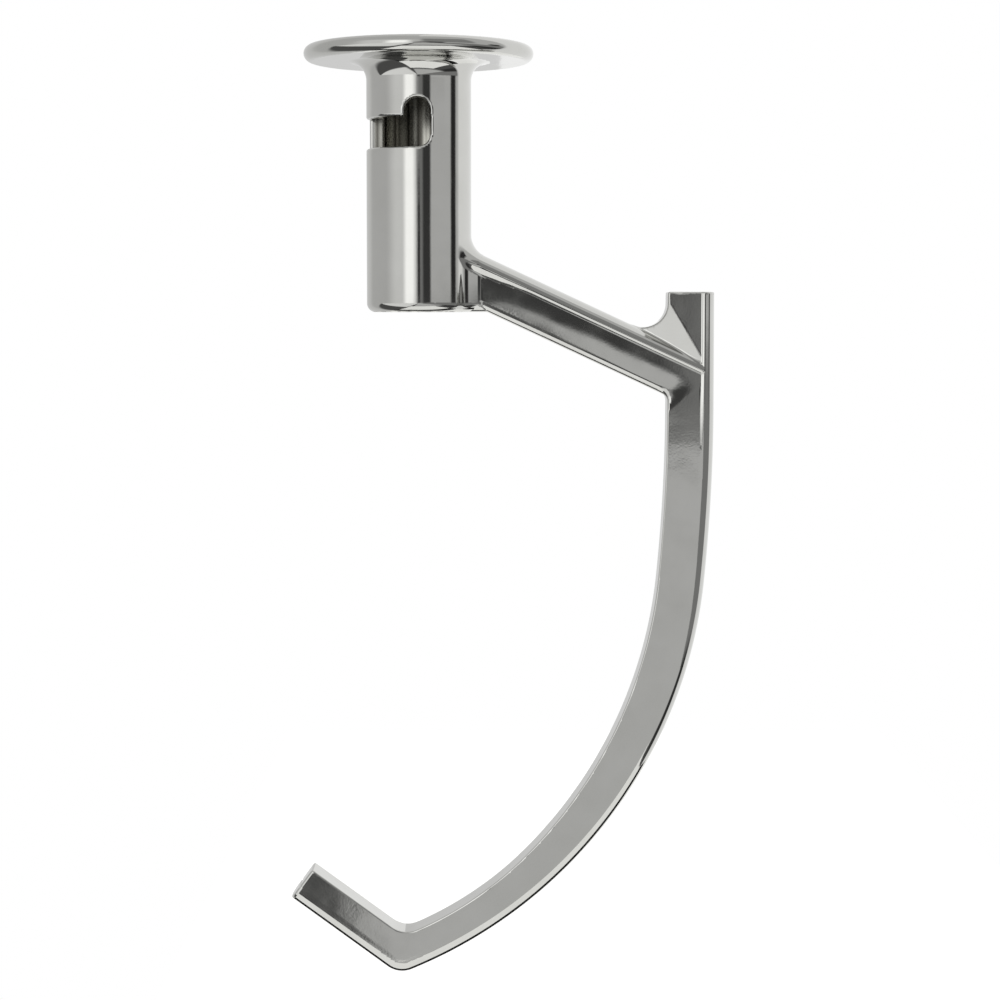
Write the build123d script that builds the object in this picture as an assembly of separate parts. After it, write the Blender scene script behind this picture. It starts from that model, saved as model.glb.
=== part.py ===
from build123d import *
from math import asin, atan2, cos, degrees, radians, sin, tan
import os

# Stand mixer dough hook, one polished casting. Origin on the bore axis at the top face of the guard disc,
# +Z up along the bore, the arm reaches towards +X, and the lock notch of the bayonet faces -Y.

# Guard disc and hub
disc_diameter = 53.4
disc_thickness = 3.8
disc_hub_fillet = 3.0
hub_diameter = 24.4
hub_height = 61.7
hub_foot_round = 2.0

# Drive bore and bayonet
bore_diameter = 17.7
bore_chamfer = 0.6
slot_top = 17.0
slot_height = 6.9
slot_end_behind_axis = 3.3
notch_width = 6.1
notch_rise = 4.4
keyway_width = 6.6
keyway_wall = 1.3
slot_edge_break = 0.4

# Bar section: a flat web with a round outer edge that starts at a crest
blade_width = 11.1
bow_width = 9.4
toe_width = 9.0
web_thickness = 8.4
crest = 3.0
crest_lap = 1.2
crest_round = 0.9
web_edge_round = 0.8
arm_edge_round = 2.3

# Arm
arm_slope = 25.0
arm_width = 11.6
arm_rise = 20.2
arm_root_round = 1.6

# Blade, bow and toe
reach = 69.0
stub_rise = 11.5
corner_fillet = 5.7
inner_corner_round = 2.0
facet_drop = 4.0
facet_slope = 22.0
blade_straight = 26.9
bow_upper_radius = 414.0
bow_upper_turn = 5.7
bow_narrow_turn = 45.0
bow_lower_radius = 112.2
bow_turn = 67.6
bend_radius = 6.2
bend_inner_round = 6.0
toe_rise = 36.2
toe_length = 28.2
toe_end_round = 0.6
stub_top_break = 0.4

# Worked out from the sizes above
hub_radius = hub_diameter / 2
bore_radius = bore_diameter / 2
web_half = web_thickness / 2
inner_x = reach - blade_width
arm_drop = hub_height - arm_rise
stub_top_depth = arm_drop + inner_x * tan(radians(arm_slope)) - stub_rise
bow_start_depth = stub_top_depth + blade_straight
web_inset = crest + crest_lap / 2
bend_turn = 90 - bow_turn + toe_rise
arm_along = Vector(cos(radians(arm_slope)), -sin(radians(arm_slope)))
arm_across = Vector(-sin(radians(arm_slope)), -cos(radians(arm_slope)))
arm_start = Vector(0, -arm_drop)
clear = disc_diameter
touch = 0.01


def arm_point(x, inset):
    """Point of the arm at a distance X from the bore axis, an inset below its top edge."""
    start = arm_start + inset * arm_across
    return start + arm_along * ((x - start.X) / arm_along.X)


def outer_edge(inset):
    """Outer edge of stub, blade, bow and toe, moved inwards by an inset."""
    stub = Line((reach - inset, -stub_top_depth), (reach - inset, -bow_start_depth))
    upper = JernArc(stub @ 1, stub % 1, bow_upper_radius - inset, -bow_upper_turn)
    lower = JernArc(upper @ 1, upper % 1, bow_lower_radius - inset, bow_upper_turn - bow_turn)
    bend = JernArc(lower @ 1, lower % 1, bend_radius - inset, -bend_turn)
    toe = Line(bend @ 1, bend @ 1 + toe_length * (bend % 1))
    return [stub, upper, lower, bend, toe]


def inner_edge():
    """Inner edge of blade, bow and toe. Two arcs narrow the bar from the blade to the bow and to the toe."""
    toe_line = outer_edge(0)[4]
    blade = Line((inner_x, -stub_top_depth), (inner_x, -bow_start_depth))
    upper = JernArc(blade @ 1, blade % 1, bow_upper_radius - blade_width, -bow_upper_turn)
    narrow_cos = cos(radians(bow_narrow_turn - bow_upper_turn))
    shrink = (bow_width - blade_width * narrow_cos) / (1 - narrow_cos)
    narrow_radius = bow_lower_radius - shrink
    narrow = JernArc(upper @ 1, upper % 1, narrow_radius, bow_upper_turn - bow_narrow_turn)
    rest_cos = cos(radians(bow_turn - bow_narrow_turn))
    whole_cos = cos(radians(bow_turn - bow_upper_turn))
    gap = bow_lower_radius - toe_width - narrow_radius * rest_cos
    lower_radius = (gap - (shrink - blade_width) * whole_cos) / (1 - rest_cos)
    inward = Vector((narrow % 1).Y, -(narrow % 1).X)
    centre = narrow @ 1 + lower_radius * inward
    toe_normal = Vector(sin(radians(toe_rise)), cos(radians(toe_rise)))
    offset = toe_width - (centre - toe_line @ 0).dot(toe_normal)
    meeting = toe_rise - degrees(asin(offset / lower_radius))
    lower = JernArc(narrow @ 1, narrow % 1, lower_radius, bow_narrow_turn - meeting)
    toe = Line(lower @ 1, toe_line @ 1 + toe_width * toe_normal)
    return [blade, upper, narrow, lower, toe]


def near(sketch, point):
    """Vertex of a sketch nearest to a point."""
    return sketch.vertices().sort_by_distance(Vector(point.X, point.Y))[0]


def arm_outline():
    """Flat web of the arm, from the bore axis to inside the blade, with a level foot at the hub's end."""
    low = arm_start + arm_width * arm_across
    foot = low + arm_along * ((-hub_height - low.Y) / arm_along.Y)
    inside = inner_x + web_inset
    return make_face(Polyline(
        arm_point(0, web_inset), arm_point(inside, web_inset), arm_point(inside, arm_width),
        foot, (0, -hub_height), close=True,
    ))


def blade_outline():
    """Flat web of stub, blade, bow and toe in the plane of the hook."""
    outer = outer_edge(web_inset)
    inner = inner_edge()
    ends = [Line(outer[4] @ 1, inner[4] @ 1), Line(inner[0] @ 0, outer[0] @ 0)]
    outline = make_face(outer + inner + ends)
    return fillet(near(outline, inner[4] @ 0), bend_inner_round)


def corner_outline(corner, first, second, radius):
    """Fillet between two edges that leave a corner in two directions, carried back into the metal."""
    half_angle = radians(first.get_angle(second)) / 2
    middle = (first + second).normalized()
    tangent = radius / tan(half_angle)
    top = corner + (radius / sin(half_angle) - radius) * middle
    arc = ThreePointArc(corner + tangent * first, top, corner + tangent * second)
    inside = Polyline(arc @ 1, corner - web_inset * middle, arc @ 0)
    return make_face([arc] + inside.edges())


def edge_section():
    """Section of the round outer edge, with a soft crest where it meets the flat face of the web."""
    inside = crest + crest_lap
    nose = ThreePointArc((crest, -web_half), (0, 0), (crest, web_half))
    sides = Polyline(nose @ 1, (inside, web_half), (inside, -web_half), nose @ 0)
    section = make_face([nose] + sides.edges())
    crests = [near(section, Vector(crest, side * web_half)) for side in (-1, 1)]
    return fillet(crests, crest_round)


def facet_tool(side):
    """Room cut off the corner between arm and stub, above a slope that falls from the stub to the fillet."""
    low = arm_point(reach - crest, crest)
    high = Vector(inner_x, -stub_top_depth - facet_drop)
    along = (high - low).normalized()
    down = Vector(-along.Y, along.X)
    tilt = radians(facet_slope)
    normal = Vector(down.X * sin(tilt), side * cos(tilt), down.Y * sin(tilt))
    plane = Plane((low.X, side * web_half, low.Y), x_dir=(along.X, 0, along.Y), z_dir=normal)
    return plane * Box(clear, clear, clear, align=(Align.CENTER, Align.CENTER, Align.MIN))


def nearest_edge(solid, point, y):
    """Edge of a solid nearest to a point in the plane of the hook, moved forwards or back to a depth."""
    return solid.edges().sort_by_distance((point.X, y, point.Y))[0]


def on_hub_wall(edge, low, high):
    """Whether an edge lies on the round wall of the hub, between two heights."""
    m = edge @ 0.5
    return abs(Vector(m.X, m.Y).length - hub_radius) < touch and low < m.Z < high


def in_space(point):
    """Point or direction in the plane of the hook as one in space."""
    return Vector(point.X, 0, point.Y)


def at_height(edge, z):
    """Whether an edge lies in a level plane."""
    return all(abs((edge @ part).Z - z) < touch for part in (0, 0.5, 1))


# Guard disc and hub, turned about the bore axis
rim = disc_diameter / 2 - disc_thickness / 2
hub_lines = [
    Line((0, 0), (rim, 0)),
    ThreePointArc((rim, 0), (disc_diameter / 2, -disc_thickness / 2), (rim, -disc_thickness)),
    Line((rim, -disc_thickness), (hub_radius, -disc_thickness)),
    Polyline((hub_radius, -disc_thickness), (hub_radius, -hub_height), (0, -hub_height), (0, 0)),
]
hub_profile = make_face(hub_lines)
hub_profile = fillet(near(hub_profile, Vector(hub_radius, -disc_thickness)), disc_hub_fillet)
hub = Rot(0, 0, 180) * revolve(Plane.XZ * hub_profile, Axis.Z)

# Arm on the hub: web with a well rounded lower edge, round top edge, fillets at the root
arm = extrude(Plane.XZ * arm_outline(), web_half, both=True)
arm_low = arm_point(reach / 2, arm_width)
arm = fillet([nearest_edge(arm, arm_low, y) for y in (-web_half, web_half)], arm_edge_round)
arm_plane = Plane((0, 0, -arm_drop), x_dir=in_space(arm_across), z_dir=in_space(arm_along))
arm_length = (reach - crest - crest * arm_across.X) / arm_along.X
arm += extrude(arm_plane * edge_section(), arm_length)
handle = hub + arm
handle = fillet([e for e in handle.edges() if on_hub_wall(e, touch - hub_height, -arm_drop)], arm_root_round)
handle = fillet([e for e in handle.edges() if at_height(e, -hub_height)], hub_foot_round)

# Stub, blade, bow and toe: web with lightly rounded inner edges, corner facets, round outer edge
blade = extrude(Plane.XZ * blade_outline(), web_half, both=True)
blade_low = Vector(inner_x, -bow_start_depth)
blade = fillet([nearest_edge(blade, blade_low, y) for y in (-web_half, web_half)], web_edge_round)
upper_corner = corner_outline(arm_point(inner_x, 0), -arm_along, Vector(0, 1), corner_fillet)
blade += extrude(Plane.XZ * upper_corner, web_half, both=True)
above_arm = make_face(Polyline(
    arm_point(0, crest), arm_point(reach, crest), (reach, 0), (0, 0), close=True))
for side in (-1, 1):
    blade -= facet_tool(side) & extrude(Plane.XZ * above_arm, clear, both=True)
path = Wire([Plane.XZ * edge for edge in outer_edge(0)])
blade_plane = Plane((reach, 0, -stub_top_depth), x_dir=(-1, 0, 0), z_dir=(0, 0, -1))
blade += sweep(blade_plane * edge_section(), path)
toe_line = outer_edge(0)[4]
toe_tip = blade.faces().sort_by_distance(in_space(toe_line @ 1) + in_space(toe_line % 1))[0]
blade = fillet(toe_tip.edges(), toe_end_round)
blade = chamfer([e for e in blade.edges() if at_height(e, -stub_top_depth)], stub_top_break)

# Whole casting, with the fillet under the arm between its two rounded edges
lower_corner = corner_outline(arm_point(inner_x, arm_width), -arm_along, Vector(0, -1), inner_corner_round)
body = handle + blade + extrude(Plane.XZ * lower_corner, (web_half - arm_edge_round) / 2, both=True)

# Drive bore, inner keyway, turn slot and lock notch
bore = Cylinder(bore_radius, hub_height, align=(Align.CENTER, Align.CENTER, Align.MAX))
mouth_radius = bore_radius + bore_chamfer
flare = Cone(bore_radius, mouth_radius, bore_chamfer, align=(Align.CENTER, Align.CENTER, Align.MAX))
bore += flare
bore += Pos(0, 0, -hub_height) * Rot(180, 0, 0) * flare
half_notch = notch_width / 2
slot_low = -slot_top - slot_height
notch_top = -slot_top + notch_rise
slot_right = Line((half_notch, slot_low), (half_notch, notch_top - half_notch))
notch_round = ThreePointArc(slot_right @ 1, (0, notch_top), (-half_notch, notch_top - half_notch))
slot_left = Polyline(
    notch_round @ 1, (-half_notch, -slot_top), (-hub_diameter, -slot_top),
    (-hub_diameter, slot_low), slot_right @ 0,
)
slot_face = make_face([slot_right, notch_round] + slot_left.edges())
slot_face = fillet(near(slot_face, slot_right @ 0), half_notch)
slot_plane = Plane((0, slot_end_behind_axis, 0), x_dir=(1, 0, 0), z_dir=(0, -1, 0))
slot = extrude(slot_plane * slot_face, hub_diameter)
keyway_reach = hub_radius - keyway_wall
keyway = Box(keyway_reach, keyway_width, slot_top, align=(Align.MAX, Align.CENTER, Align.MAX))
body = body - bore - keyway - slot
slot_edges = [e for e in body.edges() if on_hub_wall(e, slot_low - touch, notch_top + touch)]
body = chamfer(slot_edges, slot_edge_break)

os.makedirs("parts", exist_ok=True)
export_step(body, "parts/dough_hook.step")
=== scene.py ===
# Stand mixer dough hook: one mirror-polished steel casting with a guard disc, a bored hub with a bayonet slot,
# a sloping arm and a curved blade with a turned-up toe, hung by its hub in front of a white backdrop.
from math import asin, cos, radians, sin, tan

import bpy
import numpy as np
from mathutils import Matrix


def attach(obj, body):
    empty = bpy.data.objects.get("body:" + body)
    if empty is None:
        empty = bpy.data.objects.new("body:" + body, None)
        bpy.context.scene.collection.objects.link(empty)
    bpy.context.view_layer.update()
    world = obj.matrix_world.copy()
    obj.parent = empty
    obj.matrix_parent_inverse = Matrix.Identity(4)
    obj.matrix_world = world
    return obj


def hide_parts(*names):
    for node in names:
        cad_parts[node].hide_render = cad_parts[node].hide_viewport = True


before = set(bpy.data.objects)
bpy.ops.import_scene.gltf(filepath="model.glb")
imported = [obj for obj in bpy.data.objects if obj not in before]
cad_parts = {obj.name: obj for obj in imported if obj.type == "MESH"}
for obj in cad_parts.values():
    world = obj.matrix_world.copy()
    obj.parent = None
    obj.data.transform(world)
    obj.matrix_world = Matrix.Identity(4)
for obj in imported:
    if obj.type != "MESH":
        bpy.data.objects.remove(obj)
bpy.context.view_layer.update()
MM = 0.001

# Guard disc and hub, millimetres
disc_radius = 26.7
disc_thickness = 3.8
disc_fillet = 4.2
hub_radius = 12.2
hub_height = 61.7
hub_foot_round = 2.0

# Drive bore and bayonet
bore_radius = 8.85
slot_top = 17.0
slot_height = 6.9
slot_end_behind_axis = 3.3
notch_half = 3.05
notch_rise = 4.4
keyway_half = 3.3
keyway_reach = 10.9
cut_edge_round = 0.5

# Bar: a flat web with an outer edge rounded to half an ellipse. A fine lip beside it is raised on the arm, most at
# the hub, and dies out down the blade. Towards its lower edge the arm's web falls by a small step, less at the hub
blade_width = 11.1
bow_width = 9.4
toe_width = 9.0
web_half = 4.2
crest = 2.6
lip_rise = 0.2
lip_end = -0.02
lip_run = 0.7
lip_fade_depth = 68.0
lip_fade_run = 40.0
arm_lip_rise = 0.35
arm_lip_run = 0.9
root_lip_rise = 0.85
root_lip_run = 2.1
root_length = 15.0
web_edge_round = 0.3
arm_edge_round = 1.7
arm_step = 0.28
arm_step_from = 5.2
root_flat = 0.7
mitre_lean = radians(40.9)
mitre_run = 6.0

# Arm
arm_slope = radians(25)
arm_width = 11.6
arm_rise = 20.2
arm_root_round = 3.0

# Stub, blade, bow and toe
reach = 69.0
stub_rise = 11.5
corner_fillet = 5.7
inner_corner_round = 2.0
facet_drop = 4.0
facet_slope = radians(22)
facet_round = 0.5
blade_straight = 26.9
bow_upper_radius = 414.0
bow_upper_turn = radians(5.7)
bow_narrow_turn = radians(45)
bow_lower_radius = 112.2
bow_turn = radians(67.6)
bend_radius = 6.2
bend_inner_round = 6.0
toe_rise = radians(36.2)
toe_length = 28.2
toe_end_round = 0.6
stub_top_round = 0.4

# Lines of the net that the skin is drawn on: from, to, step. Across the hook, front to back, and down the hook
net_across = (
    (-28.5, -13, 0.9), (-13, 13, 0.45), (13, 28.5, 0.8), (28.5, 50, 1.1), (50, 57, 0.7), (57, 61, 0.4), (61, 64, 0.6),
    (64, 70, 0.35), (70, 73, 0.6),
)
net_back = ((0, 2.4, 0.6), (2.4, 4.8, 0.3), (4.8, 6, 0.4), (6, 13, 0.5), (13, 27.6, 0.9))
net_down = (
    (-1.5, 5, 0.4), (5, 11, 0.6), (11, 26, 0.4), (26, 29, 0.9), (29, 37, 0.4), (37, 40, 0.9), (40, 62.4, 0.4),
    (62.4, 84, 0.7), (84, 236, 1.2), (236, 262, 0.6), (262, 276, 1.0), (276, 282, 0.35),
)
net_lean_from = 5.0
net_lean_run = 41.0
net_level_from = 63.0
net_level_run = 60.0
net_bend = 16.0
net_depth = 14.0

# How points are moved onto the surface: longest move, least slope squared, step for slopes, rounds of smoothing
settle_limit = 0.6
least_slope = 0.2
slope_step = 0.01
smooth_rounds = 2


def facing(turn):
    """Outward direction of the bar after a turn from its upright run"""
    return np.array((cos(turn), -sin(turn)))


def onward(turn):
    """Direction along the bar after a turn from its upright run"""
    return np.array((-sin(turn), -cos(turn)))


def from_point(x, z, point, direction):
    """How far a place lies from a point along a direction, in the plane of the hook"""
    return (x - point[0]) * direction[0] + (z - point[1]) * direction[1]


def apart(x, z, point):
    return np.hypot(x - point[0], z - point[1])


def join(a, b, radius):
    """Two bodies as one, with a fillet along their inner corner"""
    corner = np.hypot(np.maximum(radius - a, 0), np.maximum(radius - b, 0))
    return np.maximum(radius, np.minimum(a, b)) - corner


def common(a, b, radius):
    """What two bodies share, with a rounded outer edge"""
    return -join(-a, -b, radius)


def hollow(x, z, a, b, centre, first, second, radius):
    """Open room beside two edges that leave their corner in two directions, the corner filled to a radius"""
    beside = (from_point(x, z, centre, first) < 0) & (from_point(x, z, centre, second) < 0)
    return np.where(beside, radius - apart(x, z, centre), np.minimum(a, b))


def corner_centre(corner, first, second, radius):
    half_angle = np.arccos(first @ second) / 2
    middle = (first + second) / np.linalg.norm(first + second)
    return corner + radius / sin(half_angle) * middle


def ease(value):
    """0 to 1 with soft ends"""
    t = np.clip(value, 0, 1)
    return t * t * (3 - 2 * t)


# Arm and stub in the plane of the hook
inner_x = reach - blade_width
arm_drop = hub_height - arm_rise
stub_top = arm_drop + inner_x * tan(arm_slope) - stub_rise
bow_start = stub_top + blade_straight
arm_along = np.array((cos(arm_slope), -sin(arm_slope)))
arm_across = np.array((-sin(arm_slope), -cos(arm_slope)))
arm_start = np.array((0, -arm_drop))
up = np.array((0, 1))


def arm_point(x, inset):
    start = arm_start + inset * arm_across
    return start + arm_along * (x - start[0]) / arm_along[0]


foot_x = (hub_height - arm_drop - arm_width / cos(arm_slope)) / tan(arm_slope)
upper_corner = arm_point(inner_x, 0)
upper_centre = corner_centre(upper_corner, -arm_along, up, corner_fillet)
lower_corner = arm_point(inner_x, arm_width)
lower_centre = corner_centre(lower_corner, -arm_along, -up, inner_corner_round)
mitre = np.array((-sin(mitre_lean), cos(mitre_lean)))
facet_low = arm_point(reach - crest, crest)
facet_high = np.array((inner_x, -stub_top - facet_drop))
facet_along = (facet_high - facet_low) / np.linalg.norm(facet_high - facet_low)
facet_fall = np.array((-facet_along[1], facet_along[0]))

# Outer edge of the bar: upright run, two arcs, bend and straight toe
toe_turn = radians(90) + toe_rise
upper_bow = np.array((reach - bow_upper_radius, -bow_start))
lower_bow = upper_bow + (bow_upper_radius - bow_lower_radius) * facing(bow_upper_turn)
bend = lower_bow + (bow_lower_radius - bend_radius) * facing(bow_turn)
toe_start = bend + bend_radius * facing(toe_turn)
outer_arcs = (
    (upper_bow, bow_upper_radius, 0),
    (lower_bow, bow_lower_radius, bow_upper_turn),
    (bend, bend_radius, bow_turn),
)

# Inner edge: the bar narrows from the blade to the bow and on to the toe
narrow_cos = cos(bow_narrow_turn - bow_upper_turn)
shrink = (bow_width - blade_width * narrow_cos) / (1 - narrow_cos)
narrow_radius = bow_lower_radius - shrink
rest_cos = cos(bow_turn - bow_narrow_turn)
gap = bow_lower_radius - toe_width - narrow_radius * rest_cos
last_radius = (gap - (shrink - blade_width) * cos(bow_turn - bow_upper_turn)) / (1 - rest_cos)
narrow_bow = upper_bow + (bow_upper_radius - blade_width - narrow_radius) * facing(bow_upper_turn)
last_bow = narrow_bow + (narrow_radius - last_radius) * facing(bow_narrow_turn)
inner_arcs = (
    (upper_bow, bow_upper_radius - blade_width, 0),
    (narrow_bow, narrow_radius, bow_upper_turn),
    (last_bow, last_radius, bow_narrow_turn),
)
toe_up = -facing(toe_turn)
bend_rise = (last_bow - toe_start) @ toe_up - toe_width - bend_inner_round
bend_turn = toe_rise + asin(bend_rise / (last_radius - bend_inner_round))
bend_centre = last_bow + (last_radius - bend_inner_round) * facing(bend_turn)


def along_arcs(x, z, straight, arcs):
    """Depth inside a straight run and the arcs that follow it, and where the last arc applies"""
    depth, past = straight, np.ones(x.shape, bool)
    for centre, radius, turn in arcs:
        past = past & (from_point(x, z, centre, onward(turn)) > 0)
        depth = np.where(past, radius - apart(x, z, centre), depth)
    return depth, past


def outer_depth(x, z):
    """Depth inside the outer edge of stub, blade, bow and toe"""
    depth, past = along_arcs(x, z, reach - x, outer_arcs)
    past = past & (from_point(x, z, bend, onward(toe_turn)) > 0)
    return np.where(past, bend_radius - from_point(x, z, bend, facing(toe_turn)), depth)


def mouth(x, z):
    """Room inside the inner edge of blade, bow and toe"""
    room = along_arcs(x, z, inner_x - x, inner_arcs)[0]
    above_toe = from_point(x, z, toe_start, toe_up) - toe_width
    first, second = -onward(bend_turn), onward(toe_turn)
    return hollow(x, z, room, above_toe, bend_centre, first, second, bend_inner_round)


def round_edge(depth, y, half, lip, run):
    """Outer edge of the bar: half an ellipse in section, and the fine lip that runs into the web"""
    u, v = np.maximum(crest - depth, 0) / crest, y / (half + lip)
    spread = np.hypot(u, v)
    nose = spread * (spread - 1) / np.maximum(np.hypot(u / crest, v / (half + lip)), 1e-6)
    face = np.abs(y) - half - lip * (1 - ease((depth - crest) / run))
    return np.maximum(np.where(depth < crest, nose, face), depth - crest - run)


def bar(x, y, z):
    """Arm, stub, blade, bow and toe"""
    depth = outer_depth(x, z)
    arm_depth = from_point(x, z, arm_start, arm_across)
    under_arm = np.minimum(arm_depth - arm_width, np.maximum(x - foot_x, -hub_height - z))
    under_arm = np.maximum(under_arm, -x)
    plan = hollow(x, z, under_arm, mouth(x, z), lower_centre, -arm_along, -up, inner_corner_round)
    on_arm = from_point(x, z, lower_corner, mitre)
    at_root = 1 - ease((x - hub_radius) / root_length)
    lowered = np.clip((arm_depth - arm_step_from) / (arm_width - arm_step_from), 0, 1)
    fall = arm_step * lowered**2 * (1 - root_flat * at_root)
    half = web_half - fall * ease(on_arm / mitre_run + 0.5)
    edge_round = web_edge_round + (arm_edge_round - web_edge_round) * ease(on_arm / mitre_run + 0.5)
    fade = ease((-z - lip_fade_depth) / lip_fade_run)
    run = lip_run * (1 + fade)
    arm_lip = arm_lip_rise + (root_lip_rise - arm_lip_rise) * at_root
    arm_run = arm_lip_run + (root_lip_run - arm_lip_run) * at_root
    web = common(np.abs(y) - half, plan, edge_round)
    web = np.maximum(np.maximum(web, crest + run - depth), crest + arm_run - arm_depth)
    above = hollow(x, z, -arm_depth, inner_x - x, upper_centre, -arm_along, up, corner_fillet)
    above = np.maximum(above, from_point(x, z, upper_centre, -arm_along))
    above = np.maximum(above, crest - depth)
    stub = common(np.abs(y) - web_half, above, facet_round)
    tip = from_point(x, z, facet_low, facet_fall)
    facet = cos(facet_slope) * (np.abs(y) - web_half) + sin(facet_slope) * tip
    stub = np.maximum(common(stub, facet, facet_round), arm_depth - crest)
    arm_edge = round_edge(arm_depth, y, half, arm_lip, arm_run)
    arm_edge = np.maximum(arm_edge, np.maximum(crest + x - reach, -x))
    blade_edge = round_edge(depth, y, web_half, lip_rise + (lip_end - lip_rise) * fade, run)
    body = np.minimum(np.minimum(web, blade_edge), join(stub, arm_edge, facet_round))
    toe_end = from_point(x, z, toe_start, onward(toe_turn)) - toe_length
    body = np.where(z < -bow_start, common(body, toe_end, toe_end_round), body)
    return np.where(x > inner_x - corner_fillet, common(body, z + stub_top, stub_top_round), body)


def cavity(x, y, z):
    """Drive bore, inner keyway, turn slot and lock notch"""
    bore = np.hypot(x, y) - bore_radius
    key_side = np.maximum(np.abs(y) - keyway_half, np.maximum(x, -keyway_reach - x))
    keyway = np.maximum(key_side, -slot_top - z)
    slot_end = common(x - notch_half, -slot_top - slot_height - z, notch_half)
    slot = np.maximum(slot_end, z + slot_top)
    notch_round = -slot_top + notch_rise - notch_half
    notch = np.hypot(x, np.maximum(z - notch_round, 0)) - notch_half
    notch = np.maximum(notch, notch_half - slot_top - slot_height - z)
    opening = np.maximum(join(slot, notch, cut_edge_round), y - slot_end_behind_axis)
    room = np.minimum(np.minimum(bore, keyway), opening)
    return np.maximum(room, -hub_height - hub_foot_round - z)


def hook(x, y, z):
    """Distance to the surface of the whole casting, negative in the metal"""
    out = np.hypot(x, y)
    rim = disc_thickness / 2
    disc = np.hypot(np.maximum(out - disc_radius + rim, 0), z + rim) - rim
    rest = bar(x, y, z)
    body = join(join(disc, out - hub_radius, disc_fillet), rest, arm_root_round)
    body = np.maximum(body, z)
    body = common(body, -hub_height - z, hub_foot_round)
    return common(np.minimum(body, rest), -cavity(x, y, z), cut_edge_round)


def slope(points):
    """Gradient of the distance, by small steps along the three axes"""
    steps = slope_step * np.eye(3)
    sides = [hook(*(points + step).T) - hook(*(points - step).T) for step in steps]
    return np.stack(sides, 1) / (2 * slope_step)


def settle(points, rounds):
    """Points moved onto the surface"""
    for _ in range(rounds):
        rise = slope(points)
        shift = hook(*points.T) / np.maximum((rise**2).sum(1), least_slope)
        points = points - np.clip(shift, -settle_limit, settle_limit)[:, None] * rise
    return points


def ticks(spans):
    """Places of the net's lines along one direction"""
    lines = [np.linspace(a, b, round((b - a) / step), endpoint=False) for a, b, step in spans]
    return np.append(np.concatenate(lines), spans[-1][1])


def net():
    """Corners of the net's cells. Its lines lean with the arm beside the hub and follow the bar round the bow,
    so that crests and edges run along them. The second result marks the room that holds no metal."""
    across, back, down = ticks(net_across), ticks(net_back), ticks(net_down)[::-1]
    back = np.concatenate((-back[:0:-1], back))
    x, s = np.meshgrid(across, down, indexing="ij")
    lean = ease((s - net_lean_from) / net_lean_run) * (1 - ease((s - net_level_from) / net_level_run))
    s = s + lean * tan(arm_slope) * np.clip(x - hub_radius, 0, reach - hub_radius)
    swing = ((lower_bow - toe_start) @ toe_up - net_bend) / (bow_lower_radius - net_bend)
    bend_from = toe_rise + asin(swing)
    runs = (
        (upper_bow, bow_upper_radius, 0, bow_upper_turn),
        (lower_bow, bow_lower_radius, bow_upper_turn, bend_from),
        (lower_bow + (bow_lower_radius - net_bend) * facing(bend_from), net_bend, bend_from, toe_turn),
    )
    depth = reach - x
    px, pz, start = x, -s, bow_start
    for centre, radius, first, last in runs:
        turn = np.clip(first + (s - start) / radius, first, last)
        over = np.where(turn == last, s - start - radius * (last - first), 0)
        qx = centre[0] + (radius - depth) * np.cos(turn) - over * np.sin(turn)
        qz = centre[1] - (radius - depth) * np.sin(turn) - over * np.cos(turn)
        px, pz = np.where(s > start, qx, px), np.where(s > start, qz, pz)
        start += radius * (last - first)
    empty = (s > bow_start) & (depth > net_depth)
    shape = (len(across), len(back), len(down))
    corners = [np.broadcast_to(a, shape) for a in (px[:, None, :], back[None, :, None], pz[:, None, :])]
    return np.stack(corners, -1), np.broadcast_to(empty[:, None, :], shape)


def skin():
    """Closed net of quads over the casting: a point in each cell that the surface passes through"""
    corners, empty = net()
    field = np.where(empty, 1, hook(corners[..., 0], corners[..., 1], corners[..., 2]))
    inside = field < 0
    cells = np.array(field.shape) - 1
    rings, spots = [], []
    for axis in range(3):
        ahead = np.eye(3, dtype=int)[axis]
        near = tuple(slice(0, n - a) for n, a in zip(field.shape, ahead))
        far = tuple(slice(a, n) for n, a in zip(field.shape, ahead))
        index = np.argwhere(inside[near] != inside[far])
        here, there = tuple(index.T), tuple((index + ahead).T)
        share = field[here] / (field[here] - field[there])
        spot = corners[here] + share[:, None] * (corners[there] - corners[here])
        u, v = np.eye(3, dtype=int)[(axis + 1) % 3], np.eye(3, dtype=int)[(axis + 2) % 3]
        around = [index, index - u, index - u - v, index - v]
        ring = np.stack([np.ravel_multi_index(cell.T, cells) for cell in around], 1)
        ring[~inside[here]] = ring[~inside[here]][:, ::-1]
        rings.append(ring)
        spots.append(np.repeat(spot, 4, axis=0))
    used, quads = np.unique(np.concatenate(rings), return_inverse=True)
    quads, spots = quads.reshape(-1, 4), np.concatenate(spots)
    count = np.bincount(quads.ravel(), minlength=len(used))[:, None]
    points = np.stack([np.bincount(quads.ravel(), spots[:, k], len(used)) for k in range(3)], 1) / count
    points = settle(points, 3)
    for _ in range(smooth_rounds):
        beside = [np.roll(quads, side, axis=1).ravel() for side in (1, 3)]
        total = sum(
            np.stack([np.bincount(quads.ravel(), points[b, k], len(used)) for k in range(3)], 1) for b in beside
        )
        points = settle((points + total / (2 * count)) / 2, 2)
    return settle(points, 2), quads


points, quads = skin()
normals = slope(points)
normals /= np.linalg.norm(normals, axis=1)[:, None]
mesh = bpy.data.meshes.new("dough_hook_casting")
mesh.from_pydata((points * MM).tolist(), [], quads.tolist())
mesh.shade_smooth()
mesh.normals_split_custom_set_from_vertices(normals.tolist())
casting = bpy.data.objects.new("dough_hook_casting", mesh)
bpy.context.scene.collection.objects.link(casting)


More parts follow.
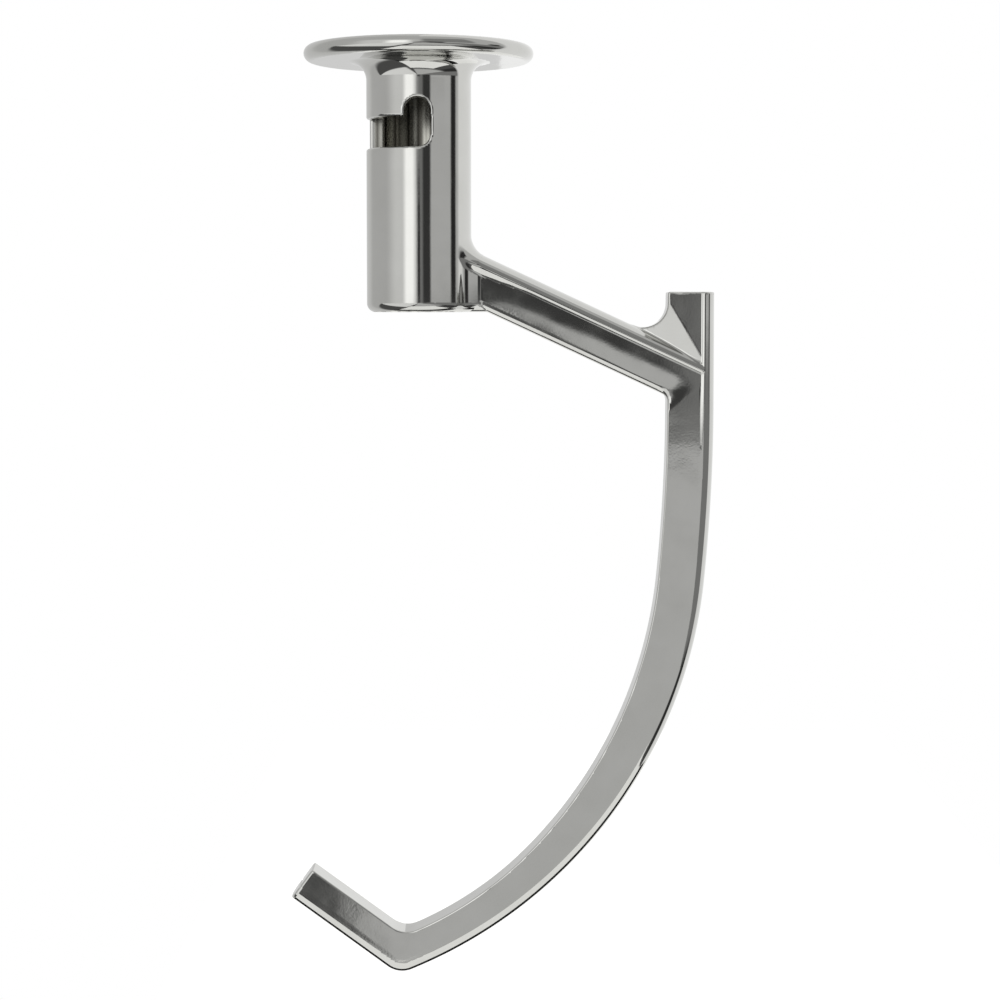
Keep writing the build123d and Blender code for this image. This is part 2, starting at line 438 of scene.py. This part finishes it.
def colour(hex_code):
    """Linear colour of an sRGB hex code"""
    parts = [int(hex_code[i:i + 2], 16) / 255 for i in (1, 3, 5)]
    return [p / 12.92 if p <= 0.04045 else ((p + 0.055) / 1.055) ** 2.4 for p in parts] + [1]


def add(tree, kind, inputs=(), **settings):
    """One node with its settings; an input takes a value or another node's output"""
    node = tree.nodes.new(kind)
    for name, value in settings.items():
        setattr(node, name, value)
    for socket, value in dict(inputs).items():
        if isinstance(value, bpy.types.NodeSocket):
            tree.links.new(value, node.inputs[socket])
        else:
            node.inputs[socket].default_value = value
    return node


# Mirror-polished cast stainless steel: clear reflections, a little hazy in patches and uneven from hand polishing,
# with a fine grain that is drawn coarser than it is so that it shows. The bored inside is satin, and its colour is
# painted darker as painted shade, with painted dark streaks of shade along the bore. Sizes of the patterns in
# millimetres
haze_size = 7
wave_size = 9
grain_size = 0.5
streak_size = 1.7
relief_depth = 0.002
wave_to_grain = 16
polished_beyond = 11.3
bored_within = 10.7
clear_rough, hazy_rough, bored_rough = 0.045, 0.1, 0.25
steel = bpy.data.materials.new("mirror_polished_cast_steel")
steel.use_nodes = True
tree = steel.node_tree
place = add(tree, "ShaderNodeTexCoord").outputs["Object"]
level = add(tree, "ShaderNodeVectorMath", {0: place, 1: (1, 1, 0)}, operation="MULTIPLY").outputs[0]
out = add(tree, "ShaderNodeVectorMath", {0: level}, operation="LENGTH").outputs["Value"]
ends = {"Value": out, "From Min": polished_beyond * MM, "From Max": bored_within * MM}
inner = add(tree, "ShaderNodeMapRange", ends, interpolation_type="SMOOTHSTEP").outputs[0]
z = add(tree, "ShaderNodeSeparateXYZ", {0: place}).outputs["Z"]
hub_only = add(tree, "ShaderNodeMath", {0: z, 1: -hub_height * MM}, operation="GREATER_THAN").outputs[0]
bored = add(tree, "ShaderNodeMath", {0: inner, 1: hub_only}, operation="MULTIPLY").outputs[0]
noise = {"Vector": place, "Scale": 1 / (haze_size * MM), "Detail": 3}
haze = add(tree, "ShaderNodeTexNoise", noise).outputs["Fac"]
ends = {"Value": haze, "From Min": 0.4, "From Max": 0.75, "To Min": clear_rough, "To Max": hazy_rough}
gloss = add(tree, "ShaderNodeMapRange", ends).outputs[0]
rough = add(tree, "ShaderNodeMix", {0: bored, 2: gloss, 3: bored_rough}).outputs[0]
tones = {0: haze, 6: colour("#cdcdca"), 7: colour("#c2c2be")}
polish = add(tree, "ShaderNodeMix", tones, data_type="RGBA").outputs[2]
# Painted shade inside the bore: its colour is darkened, with dark streaks along the bore
noise = {"Vector": level, "Scale": 1 / (streak_size * MM), "Detail": 1}
lines = add(tree, "ShaderNodeTexNoise", noise).outputs["Fac"]
streaks = add(tree, "ShaderNodeMapRange", {"Value": lines, "From Min": 0.38, "From Max": 0.6}).outputs[0]
tones = {0: streaks, 6: colour("#4c4a43"), 7: colour("#cbcac2")}
bore_painted_shade = add(tree, "ShaderNodeMix", tones, data_type="RGBA").outputs[2]
tones = {0: bored, 6: polish, 7: bore_painted_shade}
tint = add(tree, "ShaderNodeMix", tones, data_type="RGBA").outputs[2]
noise = {"Vector": place, "Scale": 1 / (grain_size * MM), "Detail": 2}
grain = add(tree, "ShaderNodeTexNoise", noise).outputs["Fac"]
noise = {"Vector": place, "Scale": 1 / (wave_size * MM), "Detail": 1}
wave = add(tree, "ShaderNodeTexNoise", noise).outputs["Fac"]
heights = {0: wave, 1: wave_to_grain, 2: grain}
uneven = add(tree, "ShaderNodeMath", heights, operation="MULTIPLY_ADD").outputs[0]
bumps = {"Height": uneven, "Strength": 1, "Distance": relief_depth * MM}
relief = add(tree, "ShaderNodeBump", bumps).outputs[0]
shader = tree.nodes["Principled BSDF"]
shader.inputs["Metallic"].default_value = 1
tree.links.new(tint, shader.inputs["Base Color"])
tree.links.new(rough, shader.inputs["Roughness"])
tree.links.new(relief, shader.inputs["Normal"])
mesh.materials.append(steel)
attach(casting, "root")
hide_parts("dough_hook")

# Level boards of the studio, millimetres: left, right, front, back and height
floor_place = -110, 250, -330, 900, -320
card_place = -110, 250, 26, 160, -318


def board(name, place, finish):
    left, right, front, back, z = place
    corners = [(left, front, z), (right, front, z), (right, back, z), (left, back, z)]
    sheet = bpy.data.meshes.new(name)
    sheet.from_pydata([[c * MM for c in corner] for corner in corners], [], [(0, 1, 2, 3)])
    sheet.materials.append(finish)
    piece = bpy.data.objects.new(name, sheet)
    bpy.context.scene.collection.objects.link(piece)
    return piece


# White floor under the hook, matt and glowing a little so that it stays white around the shadow
paper = bpy.data.materials.new("matt_white_paper")
paper.use_nodes = True
shader = paper.node_tree.nodes["Principled BSDF"]
shader.inputs["Base Color"].default_value = colour("#f0f0ee")
shader.inputs["Roughness"].default_value = 1
shader.inputs["Specular IOR Level"].default_value = 0
shader.inputs["Emission Color"].default_value = colour("#ffffff")
shader.inputs["Emission Strength"].default_value = 0.62
board("floor", floor_place, paper)

# Black card behind the lower edge, which draws the thin dark line along the bow and the toe. Only metal shows it
black = bpy.data.materials.new("matt_black_card")
black.use_nodes = True
shader = black.node_tree.nodes["Principled BSDF"]
shader.inputs["Base Color"].default_value = colour("#161616")
shader.inputs["Roughness"].default_value = 1
card = board("black_card", card_place, black)
card.visible_camera = False
card.visible_diffuse = False
card.visible_shadow = False

# Studio around the hook as soft-edged panels. Those on a wall lie by azimuth from the front and height, in degrees,
# those on the ground by their distance to the right and to the front, as shares of the drop to the ground.
# Each panel: name, on the ground, from and to, from and to, width of its soft edges, brightness
panels = (
    ("wall_behind_left", False, -200, -128, -90, 90, 20, 20, 0.72),
    ("wall_right", False, 5, 60, 7, 50, 8, 6, 0.3),
    ("low_right", False, 8, 96, -90, -1, 4, 3, 0.26),
    ("gap_low_right", False, 38, 98, -42, -20, 8, 6, 0.04),
    ("room_in_front", False, -4, 9, -30, 8, 3, 3, 0.14),
    ("key_light_glow", False, -62, -4, -8, 40, 30, 8, 0.85),
    ("key_light", False, -30, -8, -5, 30, 12, 4, 1.5),
    ("gap_right_side", False, 3, 22, -4, 12, 12, 4, 0.24),
    ("room_deep", False, -1.2, 4, -2.6, 3, 1.2, 1.2, 0.06),
    ("gap_right", False, 10, 27, -2, 9, 6, 3, 0.05),
    ("gap_far_right", False, 76, 90, -2, 9, 6, 3, 0.03),
    ("dark_ground", True, -99, 1.4, -0.6, 99, 0.3, 0.4, 0.1),
    ("ground_left", True, -99, -0.5, 0.8, 99, 0.2, 0.3, 1.0),
    ("table_in_front", True, -0.24, 2.2, 1.3, 99, 0.05, 0.6, 0.62),
)
wall_level = 0.6
horizon = -3.35
horizon_soft = 0.6
backdrop_from = 98
backdrop_soft = 8
least_drop = 0.02
world = bpy.data.worlds.new("white_studio")
bpy.context.scene.world = world
world.use_nodes = True
tree = world.node_tree
direction = add(tree, "ShaderNodeTexCoord").outputs["Generated"]
split = add(tree, "ShaderNodeSeparateXYZ", {0: direction})
front = add(tree, "ShaderNodeMath", {0: split.outputs["Y"], 1: -1}, operation="MULTIPLY").outputs[0]
turn = add(tree, "ShaderNodeMath", {0: split.outputs["X"], 1: front}, operation="ARCTAN2").outputs[0]
azimuth = add(tree, "ShaderNodeMath", {0: turn}, operation="DEGREES").outputs[0]
tilt = add(tree, "ShaderNodeMath", {0: split.outputs["Z"]}, operation="ARCSINE").outputs[0]
height = add(tree, "ShaderNodeMath", {0: tilt}, operation="DEGREES").outputs[0]
down = add(tree, "ShaderNodeMath", {0: split.outputs["Z"], 1: -1}, operation="MULTIPLY").outputs[0]
drop = add(tree, "ShaderNodeMath", {0: down, 1: least_drop}, operation="MAXIMUM").outputs[0]
aside = add(tree, "ShaderNodeMath", {0: split.outputs["X"], 1: drop}, operation="DIVIDE").outputs[0]
ahead = add(tree, "ShaderNodeMath", {0: front, 1: drop}, operation="DIVIDE").outputs[0]
ends = {"Value": height, "From Min": horizon + horizon_soft / 2, "From Max": horizon - horizon_soft / 2}
ground = add(tree, "ShaderNodeMapRange", ends, interpolation_type="SMOOTHSTEP").outputs[0]
bright = wall_level
for name, on_ground, left, right, low, high, soft_across, soft_up, value in panels:
    across, upward = (aside, ahead) if on_ground else (azimuth, height)
    cover = ground if on_ground else 1
    sides = (across, left, soft_across), (across, right, -soft_across), (upward, low, soft_up), (upward, high, -soft_up)
    for where, edge, soft in sides:
        ends = {"Value": where, "From Min": edge - soft / 2, "From Max": edge + soft / 2}
        inside = add(tree, "ShaderNodeMapRange", ends, interpolation_type="SMOOTHSTEP").outputs[0]
        cover = add(tree, "ShaderNodeMath", {0: inside, 1: cover}, operation="MULTIPLY").outputs[0]
    bright = add(tree, "ShaderNodeMix", {0: cover, 2: bright, 3: value}, label=name).outputs[0]
path = add(tree, "ShaderNodeLightPath").outputs
mirrored = add(tree, "ShaderNodeMath", {0: path["Is Glossy Ray"], 1: path["Is Transmission Ray"]}, operation="ADD")
edge, soft = backdrop_from, backdrop_soft
ends = {"Value": azimuth, "From Min": edge - soft / 2, "From Max": edge + soft / 2}
backdrop = add(tree, "ShaderNodeMapRange", ends, interpolation_type="SMOOTHSTEP").outputs[0]
shown = {0: mirrored.outputs[0], 1: backdrop, 2: path["Is Camera Ray"]}
white = add(tree, "ShaderNodeMath", shown, operation="MULTIPLY_ADD").outputs[0]
seen = add(tree, "ShaderNodeMix", {0: white, 2: bright, 3: 1.0})
tree.links.new(seen.outputs[0], tree.nodes["Background"].inputs["Strength"])
tree.nodes["Background"].inputs["Color"].default_value = colour("#ffffff")

# Camera at the height of the arm, tilted down a little to hold the whole hook
camera_tilt = 3.64
lens = bpy.data.cameras.new("camera")
lens.lens = 86.9
lens.sensor_width = 36
lens.shift_y = -0.04
camera = bpy.data.objects.new("camera", lens)
camera.location = (0.0189, -0.566, -0.0604)
camera.rotation_euler = (radians(90 - camera_tilt), 0, 0)
bpy.context.scene.collection.objects.link(camera)
bpy.context.scene.camera = camera
bpy.context.scene.view_settings.view_transform = "Standard"
